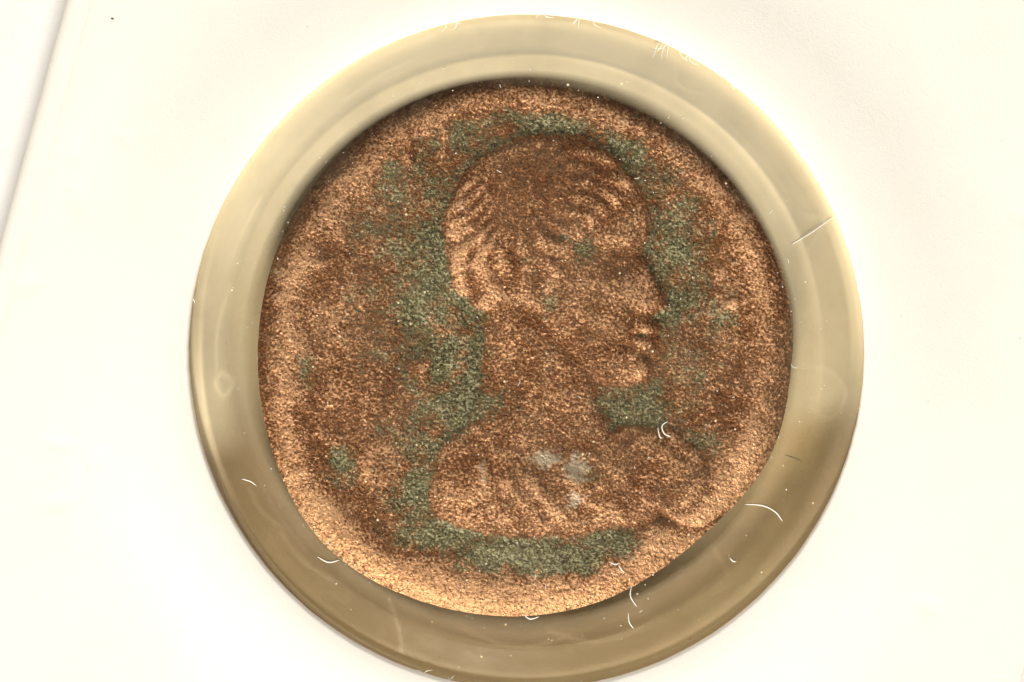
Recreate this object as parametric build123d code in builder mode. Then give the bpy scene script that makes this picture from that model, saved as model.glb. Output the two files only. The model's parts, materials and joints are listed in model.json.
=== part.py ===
"""Folding card coin holder: two square leaves of white board joined by a crease, each with a round
window, clear film and an adhesive coat on its inner face, closed over a worn bronze coin.

Frame: the fold runs along Y at the -X side, the windows look along Z, and the holder lies on the
flat of its back film. The origin is under the middle of the square, at the lowest face, +Z up.
"""

import os
from math import asin, atan, atan2, ceil, cos, degrees, hypot, radians, sin

from build123d import *

# ---- driving dimensions, in millimetres and degrees ----
card_side = 50.8  # the closed holder is a two inch square
card_thickness = 0.45  # one leaf of board
film_thickness = 0.06  # clear polyester with its bond
adhesive_thickness = 0.04  # pressure sensitive coat on the film
closing_gap = 0.02  # between the two coats when the holder is shut
corner_radius = 0.7  # worn corners of the free side

coin_diameter = 24.9  # mean, the blank is not quite round
coin_thickness = 2.3
coin_edge_radius = 0.75  # worn rim
coin_field_depth = 0.12  # how far the field lies under the rim
coin_rim_width = 1.3
coin_turn = 15.3  # how far the coin has turned in its pocket
coin_shift_x = -0.3  # where it has slid to, from the front window's middle
coin_shift_y = 0.01
coin_play = 0.02  # between each face of the coin and its film

window_offset = -0.6  # front window's middle, towards the fold
window_mismatch = 0.35  # the back window is punched this much further from the fold
window_roll = 0.14  # rounding that the punch leaves on the outer edge
film_ring = 2.0  # sloping film between the pocket and the window's edge
pocket_clearance = 0.1  # round the coin, at its widest reach
dome_height = 0.4  # how far the coin has pushed each window's edge outwards
bond_margin = 2.0  # strip along each side that stays flat and stuck
film_lip = 0.1  # film that runs level past the window's edge
film_bend_radius = 0.4  # where the film turns up, and turns level again over the coin
adhesive_setback = 1.4  # bare film round each window

fold_clearance = 0.03  # between the crease and the edge of the opening leaf

# The blank's radius over its mean radius, at even steps round the coin from the bust's right.
flan_bumps = (
    0.14, 0.30, 0.26, 0.17, 0.31, 0.08, -0.17, -0.31,
    -0.33, -0.06, 0.32, 0.06, -0.13, -0.29, -0.40, 0.10,
)

# ---- worked out from them ----
half_side = card_side / 2
half_pocket = coin_thickness / 2 + coin_play  # middle plane to the inside of a film
middle = half_pocket + film_thickness  # height of the plane where the leaves meet

adhesive_low = closing_gap / 2
film_low = adhesive_low + adhesive_thickness
card_low = film_low + film_thickness
card_high = card_low + card_thickness

crease_radius = card_high
fold_x = crease_radius - half_side  # the fold's axis
leaf_left = fold_x + crease_radius + fold_clearance

coin_reach = coin_diameter / 2 + max(flan_bumps)
coin_shift = hypot(coin_shift_x, coin_shift_y)
pocket_radius = coin_reach + coin_shift + window_mismatch + pocket_clearance
window_radius = pocket_radius + film_ring
front_window_x = window_offset
back_window_x = window_offset + window_mismatch
coin_x = front_window_x + coin_shift_x
coin_y = coin_shift_y

# The dome is an S of two equal arcs, from the flat margin up to the window's edge.
dome_outer = half_side - max(abs(front_window_x), abs(back_window_x)) - bond_margin
dome_run = dome_outer - window_radius
dome_angle = 2 * degrees(atan(dome_height / dome_run))
dome_arc = dome_run / 2 / sin(radians(dome_angle))
far_radius = ceil(hypot(half_side + abs(window_offset) + window_mismatch, half_side)) + 1

# The film's slope, tangent to the bend at its foot and to the one at its top.
slope_run = film_ring - film_lip
slope_rise = half_pocket - film_low - dome_height
slope_reach = hypot(slope_run, slope_rise - 2 * film_bend_radius)
slope_angle = degrees(
    atan2(slope_rise - 2 * film_bend_radius, slope_run) + asin(2 * film_bend_radius / slope_reach)
)
slope_length = (
    slope_run - 2 * film_bend_radius * sin(radians(slope_angle))
) / cos(radians(slope_angle))

tall = 4 * middle  # taller than anything here, for cuts right through


def leaf_section(side, window_x):
    """The plane through a window's axis: local x runs out from the axis, local y away from the
    middle plane, upwards for the front leaf (side 1) and downwards for the back leaf (side -1)."""
    return Plane((window_x, 0, middle), x_dir=(1, 0, 0), z_dir=(0, -side, 0))


def leaf_outline(window_x, hole_radius):
    """A leaf seen from above: straight along the fold, its free corners rounded, with one hole."""
    with BuildSketch(Plane.XY) as outline:
        with Locations(((leaf_left + half_side) / 2, 0)):
            Rectangle(half_side - leaf_left, card_side)
        fillet(outline.vertices().group_by(Axis.X)[-1], corner_radius)
        with Locations((window_x, 0)):
            Circle(hole_radius, mode=Mode.SUBTRACT)
    return outline.sketch


def dome_line(height):
    """The line of the dome at this height over the middle plane, from far out to the window."""
    flat = Line((far_radius, height), (dome_outer, height))
    foot = JernArc(flat @ 1, (-1, 0), dome_arc - height, -dome_angle)
    top = JernArc(foot @ 1, foot % 1, dome_arc + height, dome_angle)
    return flat @ 0, top @ 1


def pocket_line(height):
    """Goes on from dome_line at the window's edge: level lip, up the slope, over the coin."""
    start = (window_radius, height + dome_height)
    above = height - film_low
    lip = Line(start, (window_radius - film_lip, height + dome_height))
    foot = JernArc(lip @ 1, (-1, 0), film_bend_radius - above, -slope_angle)
    slope = PolarLine(foot @ 1, slope_length, direction=foot % 1)
    top = JernArc(slope @ 1, slope % 1, film_bend_radius + above, slope_angle)
    over = Line(top @ 1, (0, (top @ 1).Y))
    return over @ 1


def leaf_layer(label, side, window_x, low, high, hole_radius):
    """One layer of a leaf, between two heights over the middle plane, trimmed to the outline."""
    with BuildPart() as layer:
        with BuildSketch(leaf_section(side, window_x)):
            with BuildLine():
                outer_low, inner_low = dome_line(low)
                outer_high, inner_high = dome_line(high)
                Line(outer_low, outer_high)
                Line(inner_low, inner_high)
            make_face()
        revolve(axis=Axis((window_x, 0, middle), (0, 0, 1)))
        add(leaf_outline(window_x, hole_radius))
        extrude(amount=tall, mode=Mode.INTERSECT)
    layer.part.label = label
    return layer


def card_leaf(label, side, window_x):
    """A leaf of board, with its window's outer edge rolled by the punch."""
    with BuildPart() as card:
        add(leaf_layer(label, side, window_x, card_low, card_high, window_radius).part)
        # circles by radius: the free corners come first, then the window's two rims
        rims = card.edges().filter_by(GeomType.CIRCLE).group_by(SortBy.RADIUS)[1]
        fillet(rims.sort_by(Axis.Z)[-1 if side > 0 else 0], window_roll)
    card.part.label = label
    return card


def film_leaf(label, side, window_x):
    """The clear film: laminated under the whole leaf, and stretched over the coin in the window."""
    with BuildPart() as film:
        with BuildSketch(leaf_section(side, window_x)):
            with BuildLine():
                outer_low, _ = dome_line(film_low)
                outer_high, _ = dome_line(card_low)
                Line(outer_low, outer_high)
                centre_low = pocket_line(film_low)
                centre_high = pocket_line(card_low)
                Line(centre_low, centre_high)
            make_face()
        revolve(axis=Axis((window_x, 0, middle), (0, 0, 1)))
        with BuildSketch(Plane.XY):
            add(leaf_outline(window_x, window_radius))
            with Locations((window_x, 0)):
                Circle(window_radius)
        extrude(amount=tall, mode=Mode.INTERSECT)
    film.part.label = label
    return film


# ---- back leaf, which stays on the table ----
back_card = card_leaf("back_card", -1, back_window_x)
back_film = film_leaf("back_film", -1, back_window_x)
back_adhesive = leaf_layer(
    "back_adhesive", -1, back_window_x, adhesive_low, film_low, window_radius + adhesive_setback
)

# ---- front leaf, which opens about the crease ----
front_card = card_leaf("front_card", 1, front_window_x)
front_film = film_leaf("front_film", 1, front_window_x)
front_adhesive = leaf_layer(
    "front_adhesive", 1, front_window_x, adhesive_low, film_low, window_radius + adhesive_setback
)

# ---- crease: the rounded fold of the board, with its web to the back leaf ----
with BuildPart() as fold_crease:
    with BuildSketch(Plane.XZ.offset(-half_side)):
        with Locations((fold_x, middle)):
            Circle(crease_radius)
        with Locations(((fold_x + leaf_left) / 2, middle - (card_low + card_high) / 2)):
            Rectangle(leaf_left - fold_x, card_thickness)
    extrude(amount=card_side)
fold_crease.part.label = "fold_crease"

# ---- coin: an uneven struck blank with a worn rim and a slightly sunk field on each face ----
flan_step = 360 / len(flan_bumps)
with BuildPart() as coin:
    with BuildSketch(Plane.XY.offset(film_thickness + coin_play)):
        with BuildLine():
            Spline(
                *(
                    (
                        coin_x + (coin_diameter / 2 + bump) * cos(radians(coin_turn + n * flan_step)),
                        coin_y + (coin_diameter / 2 + bump) * sin(radians(coin_turn + n * flan_step)),
                    )
                    for n, bump in enumerate(flan_bumps)
                ),
                periodic=True,
            )
        make_face()
    extrude(amount=coin_thickness)
    fillet(coin.edges(), coin_edge_radius)
    with Locations(
        (coin_x, coin_y, film_thickness + coin_play + coin_field_depth / 2),
        (coin_x, coin_y, film_thickness + coin_play + coin_thickness - coin_field_depth / 2),
    ):
        Cylinder(coin_diameter / 2 - coin_rim_width, coin_field_depth, mode=Mode.SUBTRACT)
coin.part.label = "coin"

os.makedirs("parts", exist_ok=True)
for piece in (
    back_card, back_film, back_adhesive, front_card, front_film, front_adhesive, fold_crease, coin,
):
    export_step(piece.part, f"parts/{piece.part.label}.step")
    print(piece.part.label, len(piece.part.solids()), round(piece.part.volume, 2))
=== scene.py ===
import json
import math

import bpy
import numpy as np
from mathutils import Matrix, Vector


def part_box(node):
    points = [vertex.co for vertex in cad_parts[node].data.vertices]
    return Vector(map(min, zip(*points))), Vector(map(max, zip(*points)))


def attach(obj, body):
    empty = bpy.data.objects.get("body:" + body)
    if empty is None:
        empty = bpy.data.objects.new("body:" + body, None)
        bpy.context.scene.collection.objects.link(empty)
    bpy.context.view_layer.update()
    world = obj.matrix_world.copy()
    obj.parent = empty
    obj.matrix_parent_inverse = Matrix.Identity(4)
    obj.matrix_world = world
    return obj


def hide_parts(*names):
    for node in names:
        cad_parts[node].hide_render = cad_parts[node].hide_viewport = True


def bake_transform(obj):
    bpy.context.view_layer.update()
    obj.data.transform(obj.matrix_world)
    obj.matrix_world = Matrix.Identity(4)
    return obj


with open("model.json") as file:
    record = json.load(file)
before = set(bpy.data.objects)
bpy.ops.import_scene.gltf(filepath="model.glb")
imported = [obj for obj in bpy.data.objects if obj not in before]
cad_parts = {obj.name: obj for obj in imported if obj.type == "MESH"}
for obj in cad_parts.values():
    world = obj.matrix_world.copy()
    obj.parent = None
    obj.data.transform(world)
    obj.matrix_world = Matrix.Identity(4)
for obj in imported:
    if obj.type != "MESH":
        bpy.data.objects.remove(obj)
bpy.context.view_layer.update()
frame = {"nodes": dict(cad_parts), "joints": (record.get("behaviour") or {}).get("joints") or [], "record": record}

mm = 0.001
halfTurn = math.pi
fullTurn = 2 * math.pi
viewTurn = math.radians(15.3)   # the holder lies turned this much in the view from above

mounts = {m["name"]: m for m in frame["record"]["mounts"]}
joints = {j["name"]: j for j in frame["joints"]}


# places and sizes that come from the frame, in millimetres

def nodePoints(node):
    return np.array([v.co for v in frame["nodes"][node].data.vertices]) / mm


def nodeBox(node):
    low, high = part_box(node)
    return np.array(low) / mm, np.array(high) / mm


foldX, _, middle = (c / mm for c in joints["front_fold"]["pos_m"])
spinX, spinY, _ = (c / mm for c in joints["coin_spin"]["pos_m"])
windowX = {
    "front": mounts["front_window_face"]["pos_m"][0] / mm,
    "back": mounts["back_window_rest"]["pos_m"][0] / mm,
}
sideSign = {"front": 1, "back": -1}
bodyOf = {"front": "front_leaf", "back": "back_leaf"}

cardLow, cardHigh = nodeBox("front_card")
halfSide = cardHigh[0]
leafLeft = cardLow[0]
creaseRadius = (nodeBox("fold_crease")[1] - nodeBox("fold_crease")[0])[2] / 2
cardPoints = nodePoints("front_card")
windowRadius = np.hypot(cardPoints[:, 0] - windowX["front"], cardPoints[:, 1]).min()
cardInside = cardLow[2] - middle
cardOutside = creaseRadius
domeHeight = cardHigh[2] - middle - cardOutside
filmTop = nodeBox("front_film")[1][2] - middle
filmUnder = nodeBox("front_film")[0][2] - middle
filmThickness = cardInside - filmUnder
coatUnder = nodeBox("front_adhesive")[0][2] - middle
coinLow, coinHigh = nodeBox("coin")
coinReach = (coinHigh[1] - coinLow[1]) / 2


# small tools

def smooth(x):
    x = np.clip(x, 0, 1)
    return x * x * (3 - 2 * x)


def viewWay(right, up):
    # a step to the right and up as seen from the camera, turned to x and y on the table
    c, s = math.cos(viewTurn), math.sin(viewTurn)
    return right * c - up * s, right * s + up * c


def bump(u, v, place, size, turn=0.0):
    c, s = math.cos(math.radians(turn)), math.sin(math.radians(turn))
    du, dv = u - place[0], v - place[1]
    return np.exp(-(((du * c + dv * s) / size[0]) ** 2 + ((dv * c - du * s) / size[1]) ** 2))


def cloud(u, v, size, seed, octaves=1):
    # soft value noise between -1 and 1, with features of about this size
    total, weight = np.zeros_like(u), 0.0
    for octave in range(octaves):
        lattice = np.random.default_rng(seed + 17 * octave).uniform(-1, 1, (257, 257))
        a, b = u / size * 2 ** octave + 61.3, v / size * 2 ** octave + 83.7
        i, j = np.floor(a).astype(int), np.floor(b).astype(int)
        fa, fb = smooth(a - i), smooth(b - j)
        i, j = i % 256, j % 256
        low = lattice[i, j] * (1 - fa) + lattice[i + 1, j] * fa
        high = lattice[i, j + 1] * (1 - fa) + lattice[i + 1, j + 1] * fa
        total += (low * (1 - fb) + high * fb) * 0.55 ** octave
        weight += 0.55 ** octave
    return total / weight


def curveThrough(points, perSpan=10, closed=False):
    # a smooth line through a few chosen points
    p = np.array(points, float)
    count = len(p)
    spans = count if closed else count - 1
    out = []
    for k in range(spans):
        a, b, c, d = (
            p[(k + o) % count] if closed else p[min(max(k + o, 0), count - 1)] for o in (-1, 0, 1, 2)
        )
        for t in np.arange(perSpan) / perSpan:
            out.append(
                0.5 * (2 * b + (c - a) * t + (2 * a - 5 * b + 4 * c - d) * t * t
                       + (3 * b - a - 3 * c + d) * t ** 3)
            )
    if not closed:
        out.append(p[-1])
    return np.array(out)


def distanceTo(u, v, line, closed=False):
    # shortest distance to a line, and how far along it that is, from 0 to 1
    best = np.full(u.shape, 1e9)
    along = np.zeros(u.shape)
    ends = np.roll(line, -1, axis=0) if closed else line[1:]
    starts = line if closed else line[:-1]
    for k, (a, b) in enumerate(zip(starts, ends)):
        d = b - a
        t = np.clip(((u - a[0]) * d[0] + (v - a[1]) * d[1]) / max(d @ d, 1e-12), 0, 1)
        gap = np.hypot(u - a[0] - t * d[0], v - a[1] - t * d[1])
        nearer = gap < best
        best = np.where(nearer, gap, best)
        along = np.where(nearer, (k + t) / len(starts), along)
    return best, along


def insideOf(u, v, outline):
    # distance inside a closed outline, negative outside it
    gap, _ = distanceTo(u, v, outline, closed=True)
    inside = np.zeros(u.shape, bool)
    for a, b in zip(outline, np.roll(outline, -1, axis=0)):
        crosses = (a[1] > v) != (b[1] > v)
        with np.errstate(divide="ignore", invalid="ignore"):
            at = (b[0] - a[0]) * (v - a[1]) / (b[1] - a[1]) + a[0]
        inside ^= crosses & (u < at)
    return np.where(inside, gap, -gap)


def makePiece(name, points, faces, body, material, replaces=(), marks=None):
    # points in millimetres; marks are named values, one for each point, that the material reads
    mesh = bpy.data.meshes.new(name)
    mesh.from_pydata((np.asarray(points) * mm).tolist(), [], faces)
    mesh.validate()
    for key, values in (marks or {}).items():
        mesh.attributes.new(key, "FLOAT", "POINT").data.foreach_set("value", np.asarray(values, np.float32))
    mesh.polygons.foreach_set("use_smooth", [True] * len(mesh.polygons))
    mesh.materials.append(material)
    piece = bpy.data.objects.new(name, mesh)
    bpy.context.scene.collection.objects.link(piece)
    if body:
        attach(piece, body)
    if replaces:
        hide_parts(*replaces)
    return piece


def ringFaces(rows, columns, flip=False, start=0):
    # quads between rows of points that run all the way round
    faces = []
    for i in range(rows - 1):
        for j in range(columns):
            a = start + i * columns + j
            b = start + i * columns + (j + 1) % columns
            quad = (a, b, b + columns, a + columns)
            faces.append(quad[::-1] if flip else quad)
    return faces


# shader tools

def plug(tree, target, value):
    # links an output, or sets a plain value
    if isinstance(value, bpy.types.NodeSocket):
        tree.links.new(value, target)
    else:
        target.default_value = value


def mathNode(tree, operation, *values, clamp=False):
    node = tree.nodes.new("ShaderNodeMath")
    node.operation = operation
    node.use_clamp = clamp
    for socket, value in zip(node.inputs, values):
        plug(tree, socket, value)
    return node.outputs[0]


def add(tree, first, second, clamp=False):
    return mathNode(tree, "ADD", first, second, clamp=clamp)


def times(tree, first, second, clamp=False):
    return mathNode(tree, "MULTIPLY", first, second, clamp=clamp)


def mixColour(tree, factor, first, second):
    node = tree.nodes.new("ShaderNodeMix")
    node.data_type = "RGBA"
    plug(tree, node.inputs[0], factor)
    plug(tree, node.inputs[6], first)
    plug(tree, node.inputs[7], second)
    return node.outputs[2]


def stretch(tree, value, low, high, toLow=0.0, toHigh=1.0):
    node = tree.nodes.new("ShaderNodeMapRange")
    node.interpolation_type = "SMOOTHSTEP"
    for socket, setting in zip(node.inputs, (value, low, high, toLow, toHigh)):
        plug(tree, socket, setting)
    return node.outputs[0]


def noiseNode(tree, where, scale, detail=3.0, roughness=0.55, distortion=0.0):
    node = tree.nodes.new("ShaderNodeTexNoise")
    plug(tree, node.inputs["Vector"], where)
    plug(tree, node.inputs["Scale"], scale)
    node.inputs["Detail"].default_value = detail
    node.inputs["Roughness"].default_value = roughness
    node.inputs["Distortion"].default_value = distortion
    return node.outputs["Fac"]


def bumpNode(tree, height, strength, depth):
    # depth in millimetres
    relief = tree.nodes.new("ShaderNodeBump")
    relief.inputs["Strength"].default_value = strength
    relief.inputs["Distance"].default_value = depth * mm
    plug(tree, relief.inputs["Height"], height)
    return relief.outputs[0]


def mixShaders(tree, factor, first, second):
    mixed = tree.nodes.new("ShaderNodeMixShader")
    plug(tree, mixed.inputs[0], factor)
    tree.links.new(first.outputs[0], mixed.inputs[1])
    tree.links.new(second.outputs[0], mixed.inputs[2])
    return mixed


def colour(red, green, blue):
    return (red, green, blue, 1.0)


def newGroup(name, inputs, outputs):
    tree = bpy.data.node_groups.new(name, "ShaderNodeTree")
    for label, kind, value in inputs:
        socket = tree.interface.new_socket(label, in_out="INPUT", socket_type=kind)
        if value is not None:
            socket.default_value = value
    for label, kind in outputs:
        tree.interface.new_socket(label, in_out="OUTPUT", socket_type=kind)
    return tree, tree.nodes.new("NodeGroupInput"), tree.nodes.new("NodeGroupOutput")


def useGroup(tree, group, **values):
    node = tree.nodes.new("ShaderNodeGroup")
    node.node_tree = group
    for label, value in values.items():
        plug(tree, node.inputs[label], value)
    return node.outputs


def newMaterial(name):
    material = bpy.data.materials.new(name)
    material.use_nodes = True
    tree = material.node_tree
    tree.nodes.clear()
    return material, tree, tree.nodes.new("ShaderNodeOutputMaterial")


def objectPlace(tree):
    # object coordinates in millimetres
    coordinates = tree.nodes.new("ShaderNodeTexCoord")
    scale = tree.nodes.new("ShaderNodeVectorMath")
    scale.operation = "SCALE"
    tree.links.new(coordinates.outputs["Object"], scale.inputs[0])
    scale.inputs["Scale"].default_value = 1 / mm
    return scale.outputs[0]


def markValue(tree, name):
    node = tree.nodes.new("ShaderNodeAttribute")
    node.attribute_name = name
    return node.outputs["Fac"]


# shared effects

def makeFibreGrain():
    # paper pulp: short soft fibres, cloudy formation and a fine tooth
    tree, given, result = newGroup(
        "fibreGrain",
        [("Place", "NodeSocketVector", None), ("Fibre Scale", "NodeSocketFloat", 3.0),
         ("Tooth Scale", "NodeSocketFloat", 14.0)],
        [("Height", "NodeSocketFloat"), ("Cloud", "NodeSocketFloat")],
    )
    place, fibreScale, toothScale = (given.outputs[k] for k in ("Place", "Fibre Scale", "Tooth Scale"))
    fibres = noiseNode(tree, place, fibreScale, 4.0, 0.6, 1.6)
    ridges = mathNode(tree, "ABSOLUTE", mathNode(tree, "SUBTRACT", fibres, 0.5))
    tooth = noiseNode(tree, place, toothScale, 3.0, 0.7)
    height = add(tree, times(tree, ridges, 1.4), times(tree, tooth, 0.5))
    plug(tree, result.inputs["Height"], height)
    formation = noiseNode(tree, place, times(tree, fibreScale, 0.14), 5.0, 0.6)
    plug(tree, result.inputs["Cloud"], stretch(tree, formation, 0.3, 0.7))
    return tree


def makeSpecks():
    # scattered small dots, such as dust, pinholes or grit
    tree, given, result = newGroup(
        "specks",
        [("Place", "NodeSocketVector", None), ("Scale", "NodeSocketFloat", 4.0),
         ("Size", "NodeSocketFloat", 0.16), ("Share", "NodeSocketFloat", 0.3)],
        [("Mask", "NodeSocketFloat")],
    )
    cells = tree.nodes.new("ShaderNodeTexVoronoi")
    cells.inputs["Randomness"].default_value = 1.0
    tree.links.new(given.outputs["Place"], cells.inputs["Vector"])
    tree.links.new(given.outputs["Scale"], cells.inputs["Scale"])
    split = tree.nodes.new("ShaderNodeSeparateColor")
    tree.links.new(cells.outputs["Color"], split.inputs[0])
    chosen = mathNode(tree, "LESS_THAN", split.outputs[0], given.outputs["Share"])
    reach = times(tree, given.outputs["Size"], add(tree, split.outputs[1], 0.4))
    dot = stretch(tree, mathNode(tree, "DIVIDE", cells.outputs["Distance"], reach), 1.0, 0.55)
    plug(tree, result.inputs["Mask"], times(tree, dot, chosen))
    return tree


def makeSmears():
    # broad cloudy veils with stretched streaks in them, for film, glue and dirt
    tree, given, result = newGroup(
        "smears",
        [("Place", "NodeSocketVector", None), ("Scale", "NodeSocketFloat", 0.25),
         ("Cover", "NodeSocketFloat", 0.5)],
        [("Mask", "NodeSocketFloat")],
    )
    veil = noiseNode(tree, given.outputs["Place"], given.outputs["Scale"], 4.0, 0.6, 0.8)
    streaks = noiseNode(
        tree, given.outputs["Place"], times(tree, given.outputs["Scale"], 4.0), 2.0, 0.5, 2.2
    )
    both = add(tree, times(tree, veil, 0.7), times(tree, streaks, 0.3))
    edge = mathNode(tree, "SUBTRACT", 0.75, times(tree, given.outputs["Cover"], 0.5))
    plug(tree, result.inputs["Mask"], stretch(tree, both, mathNode(tree, "SUBTRACT", edge, 0.12), edge))
    return tree


fibreGrain = makeFibreGrain()
specks = makeSpecks()
smears = makeSmears()
print("shader groups made")


# materials

boardLook = {
    "white": colour(0.935, 0.902, 0.82),
    "shade": colour(0.915, 0.875, 0.785),
    "grime": colour(0.62, 0.54, 0.42),
    "roughness": 0.86,
    "toothHeight": 0.018,
}


def makeBoard():
    material, tree, output = newMaterial("whiteBoard")
    place = objectPlace(tree)
    grain = useGroup(tree, fibreGrain, Place=place)
    pinholes = useGroup(tree, specks, Place=place, Scale=0.9, Size=0.07, Share=0.22)["Mask"]
    wear = markValue(tree, "wear")
    base = mixColour(tree, times(tree, grain["Cloud"], 0.55), boardLook["white"], boardLook["shade"])
    base = mixColour(tree, times(tree, wear, 0.35), base, boardLook["grime"])
    base = mixColour(tree, times(tree, pinholes, 0.35), base, boardLook["grime"])
    shader = tree.nodes.new("ShaderNodeBsdfPrincipled")
    plug(tree, shader.inputs["Base Color"], base)
    plug(tree, shader.inputs["Normal"], bumpNode(tree, grain["Height"], 0.55, boardLook["toothHeight"]))
    shader.inputs["Roughness"].default_value = boardLook["roughness"]
    shader.inputs["Specular IOR Level"].default_value = 0.3
    tree.links.new(shader.outputs[0], output.inputs["Surface"])
    return material


# the two haze colours are a painted bright veil and its painted shade tint; the second pass colour is painted
# shade, darker and yellower
filmLook = {
    "pass": colour(0.972, 0.945, 0.885),
    "paintedShadePass": colour(0.97, 0.93, 0.84),
    "paintedLightHaze": colour(0.98, 0.83, 0.53),
    "paintedShadeHaze": colour(0.8, 0.6, 0.36),
    "roughness": 0.18,
    "ior": 1.55,
    "veil": 0.015,
    "dust": 0.8,
}


def clearSheet(tree, place, tint, rippleScale, rippleHeight):
    # a sheet that lets light through and mirrors a little of it on the side that faces the ray
    through = tree.nodes.new("ShaderNodeBsdfTransparent")
    plug(tree, through.inputs["Color"], tint)
    ripple = bumpNode(tree, noiseNode(tree, place, rippleScale, 3.0, 0.5, 0.8), 0.6, rippleHeight)
    mirror = tree.nodes.new("ShaderNodeBsdfPrincipled")
    mirror.inputs["Base Color"].default_value = colour(1.0, 1.0, 1.0)
    mirror.inputs["Metallic"].default_value = 1.0
    mirror.inputs["Roughness"].default_value = filmLook["roughness"]
    plug(tree, mirror.inputs["Normal"], ripple)
    facing = tree.nodes.new("ShaderNodeFresnel")
    facing.inputs["IOR"].default_value = filmLook["ior"]
    plug(tree, facing.inputs["Normal"], ripple)
    side = tree.nodes.new("ShaderNodeNewGeometry")
    front = mathNode(tree, "SUBTRACT", 1.0, side.outputs["Backfacing"])
    return mixShaders(tree, times(tree, facing.outputs[0], front), through, mirror), ripple


def makeFilm():
    material, tree, output = newMaterial("clearFilm")
    place = objectPlace(tree)
    veil = useGroup(tree, smears, Place=place, Scale=0.3, Cover=0.35)["Mask"]
    dust = useGroup(tree, specks, Place=place, Scale=1.3, Size=0.07, Share=0.5)["Mask"]
    # painted shade: a mark darkens and yellows the tint over the near half of the ring
    tint = mixColour(tree, markValue(tree, "paintedLowShade"), filmLook["pass"], filmLook["paintedShadePass"])
    sheet, ripple = clearSheet(tree, place, tint, 0.7, 0.02)
    dustAndPaintedHaze = tree.nodes.new("ShaderNodeBsdfPrincipled")
    plug(tree, dustAndPaintedHaze.inputs["Base Color"],
         mixColour(tree, markValue(tree, "paintedLowShade"), filmLook["paintedLightHaze"], filmLook["paintedShadeHaze"]))
    dustAndPaintedHaze.inputs["Roughness"].default_value = 0.35
    plug(tree, dustAndPaintedHaze.inputs["Normal"], ripple)
    # the veil and dust are the film's own; the mark added after them is a painted bright veil
    cover = add(tree, times(tree, veil, filmLook["veil"]), times(tree, dust, filmLook["dust"]))
    cover = add(tree, cover, markValue(tree, "paintedLightHaze"), clamp=True)
    tree.links.new(mixShaders(tree, cover, sheet, dustAndPaintedHaze).outputs[0], output.inputs["Surface"])
    return material


coatLook = {
    "pass": colour(0.965, 0.945, 0.89),
    "tack": colour(0.86, 0.82, 0.7),
    "milkiness": 0.1,
    "peelDepth": 0.02,
}


def makeCoat():
    material, tree, output = newMaterial("adhesiveCoat")
    place = objectPlace(tree)
    veil = useGroup(tree, smears, Place=place, Scale=0.35, Cover=0.6)["Mask"]
    dust = useGroup(tree, specks, Place=place, Scale=1.4, Size=0.1, Share=0.35)["Mask"]
    through = tree.nodes.new("ShaderNodeBsdfTransparent")
    through.inputs["Color"].default_value = coatLook["pass"]
    tack = tree.nodes.new("ShaderNodeBsdfPrincipled")
    tack.inputs["Base Color"].default_value = coatLook["tack"]
    plug(tree, tack.inputs["Roughness"], stretch(tree, veil, 0.0, 1.0, 0.2, 0.5))
    orangePeel = noiseNode(tree, place, 3.5, 4.0, 0.6, 0.5)
    plug(tree, tack.inputs["Normal"], bumpNode(tree, orangePeel, 0.7, coatLook["peelDepth"]))
    cover = add(tree, times(tree, veil, 0.16), times(tree, dust, 0.3))
    cover = add(tree, cover, coatLook["milkiness"], clamp=True)
    tree.links.new(mixShaders(tree, cover, through, tack).outputs[0], output.inputs["Surface"])
    return material


bronzeLook = {
    "dark": colour(0.085, 0.032, 0.013),
    "brown": colour(0.215, 0.089, 0.036),
    "copper": colour(0.9, 0.55, 0.355),
    # dark brown for tarnish, and for painted shade along the coin's upper edge
    "tarnishAndShade": colour(0.085, 0.04, 0.022),
    "deepGreen": colour(0.042, 0.042, 0.022),
    "green": colour(0.135, 0.138, 0.075),
    "mint": colour(0.42, 0.43, 0.31),
    "chalk": colour(0.6, 0.56, 0.5),
    "grainDepth": 0.12,
    "metal": 0.28,
}


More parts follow.
